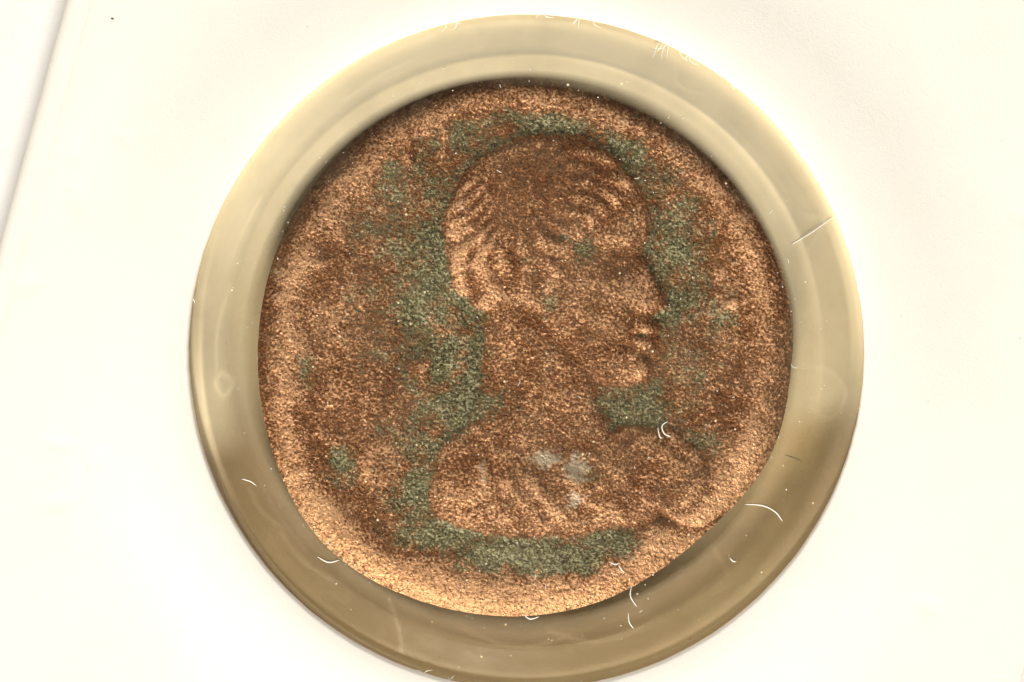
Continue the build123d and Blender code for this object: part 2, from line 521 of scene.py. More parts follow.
def makeBronze():
    material, tree, output = newMaterial("wornBronze")
    place = objectPlace(tree)
    high, green, chalk, shade = (markValue(tree, k) for k in ("height", "verdigris", "deposit", "tarnishAndShade"))
    grit = noiseNode(tree, place, 6.4, 2.0, 0.5)
    fleck = noiseNode(tree, place, 8.0, 2.0, 0.6)
    gloom = noiseNode(tree, place, 6.0, 2.0, 0.6, 0.5)
    sand = noiseNode(tree, place, 3.0, 3.0, 0.6, 0.4)
    broad = noiseNode(tree, place, 0.6, 4.0, 0.6)
    pits = useGroup(tree, specks, Place=place, Scale=5.0, Size=0.22, Share=0.22)["Mask"]
    grains = useGroup(tree, specks, Place=place, Scale=10.0, Size=0.4, Share=0.4)["Mask"]

    def sway(mask, amount):
        return times(tree, mathNode(tree, "SUBTRACT", mask, 0.5), amount)

    def total(*parts):
        out = parts[0]
        for part in parts[1:]:
            out = add(tree, out, part)
        return out

    # bright worn grains and dark gaps over the brown; the raised parts, and the painted highlight along the lower
    # edge, have more of the first
    bright = stretch(tree, total(fleck, sway(high, 0.18), sway(broad, 0.24), sway(sand, 0.2)), 0.45, 0.76)
    gaps = stretch(tree, total(gloom, sway(high, -0.1), sway(grit, -0.3)), 0.5, 0.68)
    metal = mixColour(tree, bright, bronzeLook["brown"], bronzeLook["copper"])
    metal = mixColour(tree, times(tree, gaps, 0.8), metal, bronzeLook["dark"])
    # painted shade along the coin's upper edge, with darker tarnish in the field
    metal = mixColour(tree, times(tree, shade, 0.75, clamp=True), metal, bronzeLook["tarnishAndShade"])
    patina = mixColour(tree, gaps, bronzeLook["green"], bronzeLook["deepGreen"])
    minty = stretch(tree, total(fleck, sway(broad, 0.2), sway(high, 0.1), sway(green, 0.1)), 0.5, 0.66)
    patina = mixColour(tree, minty, patina, bronzeLook["mint"])
    patch = total(green, sway(sand, 1.5), sway(grit, 1.2), sway(broad, 0.8))
    base = mixColour(tree, stretch(tree, patch, 0.2, 0.95), metal, patina)
    powder = total(chalk, sway(sand, 1.4), sway(grit, 0.6))
    chalky = times(tree, stretch(tree, powder, 0.35, 0.9), 0.8)
    base = mixColour(tree, chalky, base, bronzeLook["chalk"])
    base = mixColour(tree, times(tree, pits, 0.4), base, bronzeLook["dark"])
    bare = mathNode(tree, "SUBTRACT", 1.0, stretch(tree, patch, 0.3, 0.6))
    shader = tree.nodes.new("ShaderNodeBsdfPrincipled")
    plug(tree, shader.inputs["Base Color"], base)
    plug(tree, shader.inputs["Metallic"], times(tree, bare, bronzeLook["metal"]))
    plug(tree, shader.inputs["Roughness"], stretch(tree, grit, 0.3, 0.7, 0.55, 0.36))
    shader.inputs["Specular IOR Level"].default_value = 0.35
    height = total(times(tree, sand, 0.8), grit, times(tree, grains, 0.12), times(tree, pits, -0.3))
    plug(tree, shader.inputs["Normal"], bumpNode(tree, height, 1.0, bronzeLook["grainDepth"]))
    tree.links.new(shader.outputs[0], output.inputs["Surface"])
    return material


def makeLint(name, tint):
    material, tree, output = newMaterial(name)
    place = objectPlace(tree)
    shader = tree.nodes.new("ShaderNodeBsdfPrincipled")
    twist = noiseNode(tree, place, 6.0, 2.0)
    pale = tuple(min(1.0, c * 1.15) for c in tint[:3]) + (1.0,)
    plug(tree, shader.inputs["Base Color"], mixColour(tree, twist, tint, pale))
    shader.inputs["Roughness"].default_value = 0.6
    tree.links.new(shader.outputs[0], output.inputs["Surface"])
    return material


board = makeBoard()
film = makeFilm()
coat = makeCoat()
bronze = makeBronze()
whiteLint = makeLint("whiteLint", colour(0.9, 0.86, 0.78))
darkLint = makeLint("darkLint", colour(0.1, 0.07, 0.04))
print("materials made")


# card leaves

cardShape = {
    "columns": 720,
    "rollWidth": 1.3,       # how far the punch has pulled the face down round the window
    "rollDepth": 0.1,
    "cutRagged": 0.02,
    "edgeRound": 0.07,
    "cornerRadius": 0.7,
    "warp": 0.035,          # slow waviness of the board
    # small dents in the outer face: x, y, size, depth
    "dents": [
        (-23.2, 3.3, 0.55, 0.03), (-21.2, 4.6, 0.4, 0.02), (-22.4, 1.4, 0.8, 0.025),
        (-23.6, -3.1, 0.5, 0.03), (-20.3, -9.8, 0.5, 0.03), (-18.4, -10.1, 0.45, 0.02),
        (-19.6, -12.4, 0.6, 0.03), (19.7, 12.0, 0.5, 0.02), (20.4, -6.5, 0.7, 0.02),
        (6.0, 21.3, 0.6, 0.02), (-4.0, -21.8, 0.8, 0.025),
    ],
}


def domeRise(r):
    # the leaf's S from the flat margin up to the window, two equal arcs
    margin = np.abs([windowX["front"], windowX["back"]]).max()
    outer = halfSide - margin - 2.0
    x = np.clip((outer - r) / (outer - windowRadius), 0, 1)
    return domeHeight * np.where(x < 0.5, 2 * x * x, 1 - 2 * (1 - x) ** 2)


def outlineReach(centreX, angles):
    # distance from a window's middle to the leaf's outline, with rounded corners on the free side
    c, s = np.cos(angles), np.sin(angles)
    with np.errstate(divide="ignore"):
        across = np.where(c > 0, (halfSide - centreX) / c, (leafLeft - centreX) / c)
        along = halfSide / np.abs(s)
    reach = np.minimum(np.abs(across), along)
    radius = cardShape["cornerRadius"]
    for sign in (1, -1):
        middleX, middleY = halfSide - radius - centreX, sign * (halfSide - radius)
        half = c * middleX + s * middleY
        under = half ** 2 - (middleX ** 2 + middleY ** 2 - radius ** 2)
        arc = half + np.sqrt(np.maximum(under, 0))
        x, y = arc * c, arc * s
        onArc = (under > 0) & (x > middleX) & (y * sign > middleY * sign)
        reach = np.where(onArc, arc, reach)
    return reach


def makeCard(side):
    columns = cardShape["columns"]
    sign, centreX = sideSign[side], windowX[side]
    angles = np.arange(columns) * fullTurn / columns
    ragged = cardShape["cutRagged"] * cloud(angles * 9, angles * 0, 0.35, 5 if side == "front" else 9, 3)
    inner = windowRadius + 0.02 + ragged
    outer = outlineReach(centreX, angles)
    nearWindow = [0.0, 0.012, 0.035, 0.07, 0.12, 0.18, 0.26, 0.38, 0.55, 0.8, 1.1, 1.45, 1.9]
    nearOutline = [0.4, 0.2, 0.1, 0.045, 0.012, 0.0]
    radii = [inner + step for step in nearWindow]
    first, last = inner + nearWindow[-1], outer - nearOutline[0]
    radii += [first + (last - first) * k / 34 for k in range(1, 34)]
    radii += [outer - step for step in nearOutline]
    radii = np.array(radii)
    x = centreX + radii * np.cos(angles)
    y = radii * np.sin(angles)
    fromWindow, fromOutline = radii - inner, outer - radii
    roll = cardShape["rollDepth"] * np.clip(1 - fromWindow / cardShape["rollWidth"], 0, 1) ** 2
    lip = 0.14
    roll += lip - np.sqrt(np.maximum(lip ** 2 - np.clip(lip - fromWindow, 0, lip) ** 2, 0))
    edge = cardShape["edgeRound"]
    roll += edge - np.sqrt(np.maximum(edge ** 2 - np.clip(edge - fromOutline, 0, edge) ** 2, 0))
    free = smooth((fromWindow - 1) / 5) * smooth(fromOutline / 2.5)
    warp = cardShape["warp"] * cloud(x, y, 11.0, 21 if side == "front" else 22, 2) * free
    outside = cardOutside + domeRise(radii) - roll + warp
    for dentX, dentY, size, depth in cardShape["dents"]:
        outside = outside - depth * bump(x, sign * y, (dentX, dentY), (size, size * 0.6), 35 * dentX)
    inside = cardInside + domeRise(radii)
    keep = [0, 4, 8, *range(11, 46, 2), len(radii) - 6, len(radii) - 1]
    outerSkin = np.stack([x, y, middle + sign * outside], axis=-1)
    innerSkin = np.stack([x, y, middle + sign * inside], axis=-1)[keep]
    rows = [*innerSkin[::-1], *outerSkin]
    points = np.concatenate(rows)
    count = len(rows)
    faces = ringFaces(count, columns, flip=sign > 0)
    faces += [
        tuple(reversed(f)) if sign > 0 else f
        for f in (
            ((count - 1) * columns + j, (count - 1) * columns + (j + 1) % columns, (j + 1) % columns, j)
            for j in range(columns)
        )
    ]
    flat = radii.shape
    wear = np.concatenate([
        np.zeros(innerSkin.shape[0] * columns),
        (0.5 * np.exp(-fromOutline / 0.18) * (0.6 + 0.4 * cloud(x, y, 1.5, 31, 2))).reshape(flat).ravel(),
    ])
    return makePiece(
        f"{side}_card_sheet", points, faces, bodyOf[side], board,
        replaces=[f"{side}_card"], marks={"wear": wear},
    )


for side in ("back", "front"):
    makeCard(side)
print("card leaves made")


# the rounded fold between the leaves

foldShape = {"across": 28, "along": 160, "innerRadius": 0.12, "tuck": 0.03, "wander": 0.025}


def makeFold():
    # a bent strip of board: from the back leaf's edge round the fold to the front leaf's edge
    outerR, innerR = creaseRadius, foldShape["innerRadius"]
    reach = leafLeft - foldX + foldShape["tuck"]
    bend = np.linspace(-halfTurn / 2, -3 * halfTurn / 2, foldShape["across"])

    def section(radius):
        arc = [(foldX + radius * math.cos(a), middle + radius * math.sin(a)) for a in bend]
        low = [(foldX + reach, middle - radius), (foldX + reach - 0.04, middle - radius)]
        return low + arc + [(x, 2 * middle - z) for x, z in low[::-1]]

    loop = section(outerR) + section(innerR)[::-1]
    ys = np.linspace(-halfSide, halfSide, foldShape["along"])
    points, wear = [], []
    for k, y in enumerate(ys):
        fade = smooth(min(y + halfSide, halfSide - y) / 2)
        uneven = cloud(np.array([y]), np.array([3.0]), 3.0, 41, 3)[0]
        shift = foldShape["wander"] * float(uneven) * float(fade)
        for x, z in loop:
            onArc = max(0.0, min(1.0, (foldX - x) / outerR))
            points.append((x + abs(shift) * onArc, y, z + shift * 0.4 * onArc))
            wear.append(0.25 * onArc)
    count = len(loop)
    faces = []
    for i in range(len(ys) - 1):
        for j in range(count):
            a, b = i * count + j, i * count + (j + 1) % count
            faces.append((a, a + count, b + count, b))
    half = count // 2
    for start, flip in ((0, False), ((len(ys) - 1) * count, True)):
        for j in range(half - 1):
            quad = (start + j, start + j + 1, start + count - 2 - j, start + count - 1 - j)
            faces.append(quad[::-1] if flip else quad)
    piece = makePiece(
        "fold_strip", points, faces, None, board, ["fold_crease"], {"wear": wear}
    )
    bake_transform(piece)
    return piece


makeFold()
print("fold made")


# clear film: the window part, wrinkled round the coin, and the part laminated under the card

filmShape = {
    "columns": 600,
    "slopeRings": 40,
    "flatRings": 34,
    "overlap": 0.25,
    "ripple": 0.004,        # slack over the coin
    "wrinkle": 0.013,       # creases in the sloping ring
    # strengths of the painted light veils, over the far half of the ring and then over the near half
    "paintedLightHaze": 0.83,
    "lowPaintedLightHaze": 0.14,
    "seeds": {"front": 3, "back": 8},
}


# single creases and flow lines in the stretched ring, right and up from the coin's middle, width, height
creaseLines = [
    ([(-11.9, 7.1), (-12.7, 5.6), (-13.2, 4.4)], 0.09, 0.035),
    ([(-14.0, 5.5), (-14.6, 2.5), (-14.7, -0.5), (-14.4, -3.4)], 0.12, 0.04),
    ([(-13.3, 3.0), (-13.9, 0.8), (-13.9, -1.6)], 0.1, 0.03),
    ([(-13.7, -1.0), (-13.2, -1.5), (-13.6, -2.1), (-14.0, -1.5), (-13.7, -1.0)], 0.12, 0.04),
    ([(-12.4, -6.4), (-11.9, -7.4), (-11.0, -8.1)], 0.12, 0.035),
    ([(-11.0, -8.4), (-10.0, -9.7), (-8.6, -10.6)], 0.13, 0.035),
    ([(-6.0, -11.5), (-5.5, -13.2), (-5.6, -15.0)], 0.1, 0.04),
    ([(-2.8, -12.7), (-1.2, -13.4), (0.6, -13.6), (2.2, -13.1)], 0.1, 0.035),
    ([(1.2, -12.9), (3.4, -13.4), (5.6, -12.8)], 0.1, 0.03),
    ([(12.9, -0.8), (14.2, -0.9), (15.0, -2.0), (14.3, -3.1), (13.3, -2.7)], 0.1, 0.03),
    ([(13.2, 4.6), (14.0, 6.0), (13.2, 6.2)], 0.09, 0.03),
    ([(7.2, 13.3), (7.3, 12.2), (8.6, 11.9), (9.2, 12.8)], 0.09, 0.03),
    ([(8.9, -9.2), (9.6, -10.6), (8.9, -11.2)], 0.09, 0.03),
    ([(-8.0, 11.6), (-6.6, 12.6), (-5.0, 13.4)], 0.12, 0.03),
]


def filmProfile(r):
    # height over the middle plane of the film's outer face, from the coin out to the window's edge
    pocket = windowRadius - 2.0
    foot = cardInside + domeHeight
    x = np.clip((windowRadius - 0.1 - r) / (windowRadius - 0.1 - pocket), 0, 1)
    bend = 0.1
    eased = np.where(x < bend, x * x / (2 * bend * (1 - bend)),
                     np.where(x > 1 - bend, 1 - (1 - x) ** 2 / (2 * bend * (1 - bend)),
                              (x - bend / 2) / (1 - bend)))
    return foot + (filmTop - foot) * eased


def makeWindowFilm(side):
    sign, centreX, seed = sideSign[side], windowX[side], filmShape["seeds"][side]
    columns = filmShape["columns"]
    angles = np.arange(columns) * fullTurn / columns
    pocket = windowRadius - 2.0
    radii = np.concatenate([
        np.linspace(0.35, pocket - 0.6, filmShape["flatRings"]),
        np.linspace(pocket - 0.5, windowRadius + filmShape["overlap"], filmShape["slopeRings"]),
    ])
    r, a = np.meshgrid(radii, angles, indexing="ij")
    x, y = centreX + r * np.cos(a), r * np.sin(a)
    onSlope = smooth((r - pocket + 0.6) / 1.0) * smooth((windowRadius - r) / 0.7)
    along = 15 * a + 0.8 * cloud(x, y, 3.0, seed + 1)
    creases = 0.5 - np.abs(cloud(along / 3.6, r * 1.7 + np.sin(2 * a), 1.0, seed, 2)) ** 0.7
    slow = cloud(x, y, 2.6, seed + 2)
    wave = onSlope * (filmShape["wrinkle"] * creases * (0.5 + 0.5 * slow) + 0.02 * slow)
    creaseSheen = np.zeros_like(r)
    if side == "front":
        right = (x - spinX) * math.cos(viewTurn) + (y - spinY) * math.sin(viewTurn)
        up = (y - spinY) * math.cos(viewTurn) - (x - spinX) * math.sin(viewTurn)
        for line, width, height in creaseLines:
            gap, _ = distanceTo(right, up, curveThrough(line, 8))
            wave = wave + 0.5 * height * onSlope * np.exp(-(gap / width) ** 2)
            # painted sheen along each crease
            creaseSheen = np.maximum(creaseSheen, 3.5 * height * np.exp(-(gap / width) ** 2) * (0.6 + 0.4 * slow))
    slack = filmShape["ripple"] * (1 - onSlope) * smooth((pocket - r) / 2.0 + 0.2)
    slack = slack * cloud(x, y, 2.4, seed + 3, 2)
    outer = np.minimum(filmProfile(r) + wave + slack, filmTop)
    inner = outer - filmThickness
    skins = [np.stack([x, y, middle + sign * z], axis=-1).reshape(-1, 3) for z in (outer, inner)]
    rings = len(radii)
    tips = [(centreX, 0, middle + sign * filmTop), (centreX, 0, middle + sign * (filmTop - filmThickness))]
    points = np.concatenate([*skins, np.array(tips)])
    size = rings * columns
    faces = ringFaces(rings, columns, flip=sign < 0) + ringFaces(rings, columns, flip=sign > 0, start=size)
    for j in range(columns):
        k = (j + 1) % columns
        rim = ((rings - 1) * columns + j, (rings - 1) * columns + k,
               size + (rings - 1) * columns + k, size + (rings - 1) * columns + j)
        top, under = (2 * size, j, k), (2 * size + 1, size + k, size + j)
        for f in (rim[::-1], top, under):
            faces.append(f if sign > 0 else f[::-1])
    # painted light on the stretched ring: a bright veil over the half away from the key light, a fainter veil over
    # the near half, a painted lit band along the window's edge at the sides, and painted sheen along the creases
    around = a - viewTurn
    fromCoin = np.hypot(x - spinX, y - spinY) - coinReach
    stretched = smooth((fromCoin + 0.2) / 0.5)
    far = smooth((np.sin(around) + 0.32 + 0.08 * cloud(x, y, 3.0, seed + 5)) / 0.16)
    paintedLightHaze = filmShape["paintedLightHaze"] * stretched * far * (0.8 + 0.4 * smooth((fromCoin - 0.7) / 0.8))
    paintedLightHaze = paintedLightHaze * (0.38 + 0.62 * smooth(np.sin(around) / 0.75))
    lowCloud = 1.9 - 1.4 * smooth((fromCoin - 0.2) / 1.0) + 1.1 * smooth((fromCoin - 2.1) / 0.7)
    paintedLightHaze = paintedLightHaze + filmShape["lowPaintedLightHaze"] * stretched * (1 - far) * lowCloud
    paintedLightHaze = paintedLightHaze * (1 + 0.12 * cloud(x, y, 1.6, seed + 6, 3))
    beside = smooth((0.35 - np.abs(np.sin(around - 0.2))) / 0.3)
    paintedLightHaze = paintedLightHaze + 0.25 * smooth((r - windowRadius + 0.7) / 0.25) * beside
    paintedLightHaze = (paintedLightHaze + creaseSheen) * (side == "front")
    # painted shade: the film over the near half of the ring is tinted darker and yellower
    paintedLowShade = stretched * (1 - far)
    marks = {
        "paintedLightHaze": np.concatenate([paintedLightHaze.ravel(), paintedLightHaze.ravel() * 0, [0.0, 0.0]]),
        "paintedLowShade": np.concatenate([paintedLowShade.ravel(), paintedLowShade.ravel(), [0.0, 0.0]]),
    }
    return makePiece(
        f"{side}_window_film", points, faces, bodyOf[side], film, [f"{side}_film"], marks
    )


layerGap = 0.006   # between the layers, so that no two faces lie in one plane


def makeLaminate(side, name, low, high, hole, material, replaces):
    # a thin layer under the card, from just outside the window to the leaf's outline
    sign, centreX = sideSign[side], windowX[side]
    columns = 360
    angles = np.arange(columns) * fullTurn / columns
    inner = np.full(columns, hole)
    outer = outlineReach(centreX, angles) - 0.02
    rings = 26
    radii = np.array([inner + (outer - inner) * k / (rings - 1) for k in range(rings)])
    x, y = centreX + radii * np.cos(angles), radii * np.sin(angles)
    rows = [np.stack([x, y, middle + sign * (level + domeRise(radii))], axis=-1) for level in (low, high)]
    points = np.concatenate([*rows[0][::-1], *rows[1]])
    count = 2 * rings
    faces = ringFaces(count, columns, flip=sign > 0)
    for j in range(columns):
        k = (j + 1) % columns
        quad = ((count - 1) * columns + j, (count - 1) * columns + k, k, j)
        faces.append(quad[::-1] if sign > 0 else quad)
    return makePiece(name, points, faces, bodyOf[side], material, replaces=replaces)


for side in ("back", "front"):
    makeWindowFilm(side)
    makeLaminate(side, f"{side}_film_under_card", filmUnder + layerGap, cardInside - layerGap,
                 windowRadius + filmShape["overlap"], film, [f"{side}_film"])
    makeLaminate(side, f"{side}_adhesive_coat", coatUnder, filmUnder, windowRadius + 1.4,
                 coat, [f"{side}_adhesive"])
print("films made")


# lint, dust and frayed paper

lintShape = {"sides": 6, "dust": 420, "dustSize": (0.018, 0.05), "stray": 26, "seed": 12}
# hairs on the film: right and up from the coin's middle
paleHairs = [
    [(10.3, -7.1), (11.1, -7.15), (11.7, -7.45), (12.05, -7.9)],
    [(5.1, -10.85), (5.05, -11.3), (5.35, -11.8)],
    [(4.95, -12.1), (5.0, -12.5), (5.2, -12.8)],
    [(6.75, -3.3), (6.5, -3.5), (6.6, -3.85), (6.9, -4.0)],
    [(6.3, -3.6), (6.4, -4.0), (6.5, -4.05)],
    [(-12.8, -5.95), (-12.4, -6.05), (-12.1, -6.25)],
    [(-9.3, -9.5), (-8.8, -9.75), (-8.3, -9.65)],
    [(0.15, -12.15), (0.45, -12.35), (0.85, -12.25)],
    [(9.6, -9.55), (9.75, -9.7), (9.9, -9.72)],
    [(12.4, 4.8), (13.4, 5.4), (14.4, 6.1)],
    [(4.5, -9.9), (4.65, -10.1), (4.75, -10.2)],
    [(4.1, -9.75), (4.35, -9.85), (4.5, -9.8)],
]
darkHairs = [[(12.15, -4.85), (12.5, -4.95), (12.95, -5.15)]]
# torn fibres on the window's edge: degrees round, how many, longest
tornFibres = [
    (103, 3, 0.6), (88, 3, 0.5), (80, 3, 0.7), (66, 5, 1.2), (62, 3, 0.8), (53, 2, 0.5), (136, 2, 0.4),
    (253, 2, 0.5), (256, 2, 0.4), (260, 2, 0.4), (278, 2, 0.4), (20, 1, 0.3), (170, 1, 0.3),
]


def strand(path, radius):
    # a thin round thread along a path, tapered and closed at both ends
    path = np.array(path, float)
    sides = lintShape["sides"]
    ahead = np.gradient(path, axis=0)
    ahead /= np.linalg.norm(ahead, axis=1)[:, None]
    across = np.cross(ahead, (0, 0, 1.0))
    across /= np.linalg.norm(across, axis=1)[:, None] + 1e-9
    over = np.cross(across, ahead)
    turn = np.arange(sides) * fullTurn / sides
    thick = radius * np.sqrt(np.clip(np.sin(np.linspace(0.06, halfTurn - 0.06, len(path))), 0.1, 1))
    rings = (path[:, None] + thick[:, None, None] * (
        np.cos(turn)[None, :, None] * across[:, None] + 0.7 * np.sin(turn)[None, :, None] * over[:, None]))
    points = [*rings.reshape(-1, 3), path[0], path[-1]]
    count = len(path) * sides
    faces = ringFaces(len(path), sides, flip=True)
    faces += [(count, (j + 1) % sides, j) for j in range(sides)]
    faces += [(count + 1, count - sides + j, count - sides + (j + 1) % sides) for j in range(sides)]
    return points, faces


def gather(parts):
    points, faces = [], []
    for morePoints, moreFaces in parts:
        shift = len(points)
        points += list(morePoints)
        faces += [tuple(i + shift for i in f) for f in moreFaces]
    return points, faces


def onFilm(right, up, lift):
    # a place on the front film's outer face, right and up from the coin's middle
    x, y = viewWay(right, up)
    x, y = x + spinX, y + spinY
    r = np.hypot(x - windowX["front"], y)
    return x, y, middle + min(float(filmProfile(np.array(r))), filmTop) + lift


def makeLintPieces():
    rng = np.random.default_rng(lintShape["seed"])
    hairs, dark = [], []
    for lines, into, radius in ((paleHairs, hairs, 0.028), (darkHairs, dark, 0.022)):
        for line in lines:
            into.append(strand([onFilm(p[0], p[1], radius * 0.4) for p in curveThrough(line, 6)], radius))
    for _ in range(lintShape["stray"]):
        right, up = rng.uniform(-14, 14, 2)
        if math.hypot(right, up) > 13.8:
            continue
        way, length = rng.uniform(0, fullTurn), rng.uniform(0.15, 0.4)
        curl = rng.uniform(-0.8, 0.8)
        line = [(right + t * length * math.cos(way + curl * t), up + t * length * math.sin(way + curl * t))
                for t in np.linspace(0, 1, 6)]
        hairs.append(strand([onFilm(p[0], p[1], 0.006) for p in line], 0.014))
    for degrees, count, longest in tornFibres:
        for _ in range(count):
            a = math.radians(degrees + rng.uniform(-1.5, 1.5)) + viewTurn
            lean, length = rng.uniform(-1.2, 1.2), longest * rng.uniform(0.5, 1)
            start = windowRadius + 0.12
            level = middle + cardOutside + domeHeight - rng.uniform(0.12, 0.3)
            line = []
            for t in np.linspace(0, 1, 8):
                r, sideways = start - t * length * math.cos(lean * t), t * length * math.sin(lean * t)
                line.append((windowX["front"] + r * math.cos(a) - sideways * math.sin(a),
                             r * math.sin(a) + sideways * math.cos(a), level - 0.1 * t * t))
            hairs.append(strand(line, 0.02))
    corners = np.array([(1, 0, 0), (0, 1, 0), (-1, 0, 0), (0, -1, 0), (0, 0, 0.5), (0, 0, -0.5)], float)
    sides = [(0, 1, 4), (1, 2, 4), (2, 3, 4), (3, 0, 4), (1, 0, 5), (2, 1, 5), (3, 2, 5), (0, 3, 5)]
    for _ in range(lintShape["dust"]):
        reach, turn = 14.2 * math.sqrt(rng.uniform(0, 1)), rng.uniform(0, fullTurn)
        size = rng.uniform(*lintShape["dustSize"]) * rng.uniform(0.5, 1)
        place = onFilm(reach * math.cos(turn), reach * math.sin(turn), size * 0.3)
        spin = rng.uniform(0, fullTurn)
        grain = corners * size * rng.uniform(0.6, 1.2, (6, 1))
        c, s = math.cos(spin), math.sin(spin)
        grain = grain @ np.array([[c, s, 0], [-s, c, 0], [0, 0, 1]])
        hairs.append((list(grain + place), sides))
    flecks = []
    for x, y, size in ((-23.06, 9.76, 0.08), (-19.6, 15.5, 0.03), (18.5, 9.3, 0.03), (21.2, -4.0, 0.025)):
        grain = corners * size * rng.uniform(0.7, 1.3, (6, 1)) * (1, 0.6, 0.25)
        flecks.append((list(grain + (x, y, middle + cardOutside + 0.01)), sides))
    points, faces = gather(hairs)
    makePiece("pale_lint", points, faces, "front_leaf", whiteLint)
    points, faces = gather(dark + flecks)
    makePiece("dark_lint", points, faces, "front_leaf", darkLint)


makeLintPieces()
print("lint made")


# the coin

coinShape = {
    "grid": 208,
    "rimRound": 0.75,
    "edgeRows": 0.43,       # breadth of grid given to the rounded edge beyond its own
    "rimWidth": 1.75,
    "rimRise": 0.24,
    "rimWear": 0.4,
    "fieldDepth": 0.6,
}

# the bust, in millimetres from the coin's middle, right and up as the bust is seen
headOutline = curveThrough([
    (5.45, 7.55), (4.3, 8.95), (2.4, 9.75), (0.3, 9.75), (-1.7, 8.95), (-3.1, 7.3), (-3.65, 5.3),
    (-3.35, 3.4), (-2.35, 2.0), (-1.0, 1.55), (0.2, 1.2), (0.9, 0.1), (2.2, -0.9), (3.9, -1.6),
    (5.2, -1.75), (5.95, -1.35), (6.08, -0.75), (5.78, -0.25), (6.2, 0.2), (6.12, 0.58), (6.36, 0.95),
    (6.15, 1.5), (6.8, 1.95), (6.5, 2.75), (5.95, 3.85), (5.72, 4.5), (5.98, 5.3), (5.9, 6.5),
], 6, closed=True)
neckOutline = curveThrough([
    (-1.5, 2.4), (-1.75, 0.2), (-1.95, -1.8), (-2.7, -3.6), (-3.6, -5.2), (3.0, -6.4), (5.6, -4.6),
    (4.2, -3.3), (3.5, -2.2), (3.4, -0.8), (2.4, 2.0),
], 6, closed=True)
bustOutline = curveThrough([
    (-1.6, -3.9), (-3.0, -4.8), (-3.95, -5.8), (-4.2, -6.9), (-3.6, -7.95), (-1.9, -8.45), (0.9, -8.7),
    (3.7, -8.4), (6.2, -7.8), (8.0, -6.9), (8.5, -5.7), (8.1, -4.5), (6.7, -3.7), (4.7, -3.5),
    (3.1, -4.1), (1.2, -4.5), (-0.3, -4.3),
], 6, closed=True)
hairLine = curveThrough([
    (6.4, 7.9), (5.05, 7.2), (4.35, 6.2), (3.5, 5.6), (2.7, 4.7), (2.2, 3.6), (1.75, 2.7), (1.3, 3.6),
    (0.55, 4.3), (-0.2, 3.9), (-0.35, 2.6), (-0.6, 1.3), (-1.2, 0.6), (-4.5, 0.8), (-6.0, 6.0),
    (-3.0, 12.0), (4.0, 12.0), (7.5, 10.0),
], 5, closed=True)
wreathLine = curveThrough([(5.3, 7.4), (3.6, 7.35), (1.5, 6.6), (-0.6, 5.6), (-2.3, 4.3), (-3.4, 3.1)], 12)
ribbonLines = [
    curveThrough([(-3.1, 3.0), (-4.1, 1.9), (-3.7, 0.5), (-4.5, -0.9), (-4.1, -2.0)], 8),
    curveThrough([(-2.9, 2.7), (-3.2, 1.3), (-2.6, 0.2), (-3.0, -1.2)], 8),
]
crackPoints = [(6.3, -7.35), (6.9, -7.75), (7.6, -8.1), (8.3, -8.2), (8.9, -7.9), (9.5, -7.3)]
crackLine = curveThrough(crackPoints, 6)

# green patches in the hollows: u, v, width, height, strength
greenSpread = (1.2, 1.15)
greenStrength = 1.08
greenPatches = [
    (-4.9, 4.8, 1.9, 2.1, 0.72), (-4.6, 7.2, 1.7, 1.5, 0.6), (-4.3, 2.2, 2.0, 2.4, 0.85),
    (-3.6, -0.6, 1.9, 2.2, 0.85), (-2.7, -2.7, 1.9, 1.0, 0.9), (-4.3, -4.2, 1.8, 1.5, 0.62),
    (-5.0, -6.6, 1.1, 1.7, 0.85), (-3.7, -8.5, 1.9, 0.75, 0.9), (-0.7, -9.4, 2.4, 0.7, 1.05),
    (2.0, -9.85, 2.4, 0.7, 1.1), (4.4, -9.2, 1.5, 0.7, 0.8), (7.2, 4.7, 1.2, 2.1, 0.85),
    (7.7, 2.2, 1.4, 1.5, 0.6), (5.1, 9.3, 1.3, 1.3, 0.65), (6.3, 8.0, 1.0, 1.0, 0.6),
    (1.0, 10.7, 3.4, 0.6, 0.65), (-2.8, 9.7, 1.9, 1.1, 0.55), (5.6, -2.8, 1.7, 0.95, 0.95),
    (9.0, 1.6, 0.8, 1.4, 0.6), (-8.2, -5.2, 0.55, 0.9, 0.8), (-10.0, -0.9, 0.35, 1.0, 0.5),
    (-6.2, 8.3, 1.1, 0.8, 0.5), (7.9, -0.8, 1.0, 1.6, 0.5), (-6.8, 2.6, 1.6, 0.5, 0.5),
    (6.8, -3.9, 0.7, 0.5, 0.45), (8.7, -4.1, 0.9, 0.7, 0.45), (-6.3, 0.0, 1.4, 0.9, 0.4),
    (-7.0, 5.4, 1.3, 0.6, 0.4),
]
chalkPatches = [
    (1.2, -5.0, 0.95, 0.55, 0.95), (2.6, -5.5, 0.7, 0.9, 1.0), (2.5, -6.9, 0.45, 0.55, 0.9),
    (-1.7, -5.6, 0.35, 0.8, 0.6), (-2.7, 6.6, 0.5, 0.8, 0.35), (-1.0, 5.3, 0.7, 0.4, 0.3),
    (-0.9, -4.6, 0.5, 0.4, 0.4), (3.0, 8.0, 0.9, 0.2, 0.3),
]


